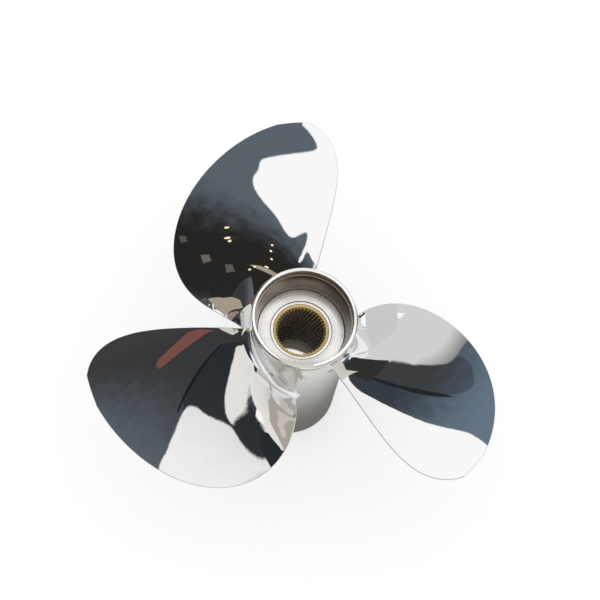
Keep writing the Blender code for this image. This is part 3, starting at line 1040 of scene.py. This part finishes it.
def flat_mesh(name, points):
    mesh = bpy.data.meshes.new(name)
    mesh.from_pydata([tuple(point) for point in points], [], [tuple(range(len(points)))])
    return mesh


def stage_piece(name, mesh, look, place):
    """A piece of the studio, which is no part of the propeller."""
    obj = bpy.data.objects.new(name, mesh)
    obj.matrix_world = place
    bpy.context.scene.collection.objects.link(obj)
    mesh.materials.append(look)
    return obj


def place_card(name, mesh, look, place):
    only_in_reflections(stage_piece(name, mesh, look, place))


def reflected_card(name, points, look, place):
    place_card(name, flat_mesh(name, points), look, place)


def stage_floor():
    """The pale floor that the propeller stands on."""
    signs = ((-1, -1), (1, -1), (1, 1), (-1, 1))
    corners = [(x * FLOOR_REACH, y * FLOOR_REACH, -BALANCE_HEIGHT) for x, y in signs]
    made, tree = new_material("pale_floor")
    finish_surface(
        tree,
        {
            "Base Color": linear(FLOOR_COLOUR),
            "Roughness": 0.9,
            "Specular IOR Level": 0.0,
            "Emission Color": linear("#ffffff"),
            "Emission Strength": FLOOR_GLOW,
        },
        {},
    )
    stage_piece("floor", flat_mesh("floor", corners), made, Matrix())


def lit_floor():
    """The bright round of floor under the hub that closes the view through the bore."""
    edge = circle(LIT_RADIUS, CIRCLE_STEPS, LIT_LIFT - BALANCE_HEIGHT)
    look = emission("lit_floor", "#ffffff", LIT_STRENGTH)
    stage_piece("lit_floor", flat_mesh("lit_floor", edge), look, Matrix())


def soft_light():
    """An even white studio: light from all round."""
    world = bpy.data.worlds.new("soft_studio")
    bpy.context.scene.world = world
    world.use_nodes = True
    background = world.node_tree.nodes["Background"]
    background.inputs["Color"].default_value = linear("#ffffff")
    background.inputs["Strength"].default_value = WORLD_STRENGTH
    world.cycles_visibility.glossy = False


def photo_camera():
    """The camera at the photograph's viewing angle: far away with a long lens."""
    data = bpy.data.cameras.new("camera")
    data.lens = CAMERA_LENS
    data.sensor_width = CAMERA_SENSOR
    data.clip_start, data.clip_end = CAMERA_RANGE
    camera = bpy.data.objects.new("camera", data)
    bpy.context.scene.collection.objects.link(camera)
    rim_height = HUB_LENGTH - BALANCE_HEIGHT
    x, y, z = CAMERA_PLACE
    pan = Matrix.Rotation(CAMERA_AZIMUTH, 4, "Z")
    tip = Matrix.Rotation(math.pi / 2 - CAMERA_ELEVATION, 4, "X")
    roll = Matrix.Rotation(CAMERA_ROLL, 4, "Z")
    camera.matrix_world = Matrix.Translation((x, y, z + rim_height)) @ pan @ tip @ roll
    bpy.context.scene.camera = camera


def main():
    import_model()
    photo_camera()
    mirror = mirror_polished_stainless()
    satin = satin_polished_stainless()
    turned = turned_stainless("turned_stainless", "#f0efed", "#d9d7d3", 0.22, 0.36)
    # A darker copy of the turned steel: painted shade for the walls of the recess and the keeper ring
    shaded_bore_steel = turned_stainless("bored_stainless_shaded", "#b9aca0", "#9c8f84", 0.18, 0.32)
    brass = machined_brass()
    # Pale cream brass for the chamfer: a painted highlight
    chamfer_highlight_brass = pale_highlight_brass()
    # The dark roots of the spline teeth are painted shade in the grooves
    groove_shaded_brass = bored_brass("broached_brass", "#4a4238", "#c2b298")
    bore_brass = bored_brass("bored_brass", "#b3a084", "#b3a084")
    rubber = moulded_rubber()
    hub_barrel(satin, shaded_bore_steel)
    recess_floor(turned)
    bush_shell(turned)
    bush_rubber(rubber)
    keeper_ring(shaded_bore_steel)
    spline_sleeve(brass, chamfer_highlight_brass, groove_shaded_brass, bore_brass)
    for name in BLADE_ANGLES:
        blade_piece(name, mirror)
    stage_floor()
    lit_floor()
    soft_light()
    studio_dome()
    for board in BOARDS:
        studio_board(*board)
    warm_lamps()
    near_cards()
    floor_shade()
    for layer, panel in enumerate(FAR_PANELS):
        far_panel(*panel, layer)
    bpy.context.scene.view_settings.view_transform = "Standard"


main()
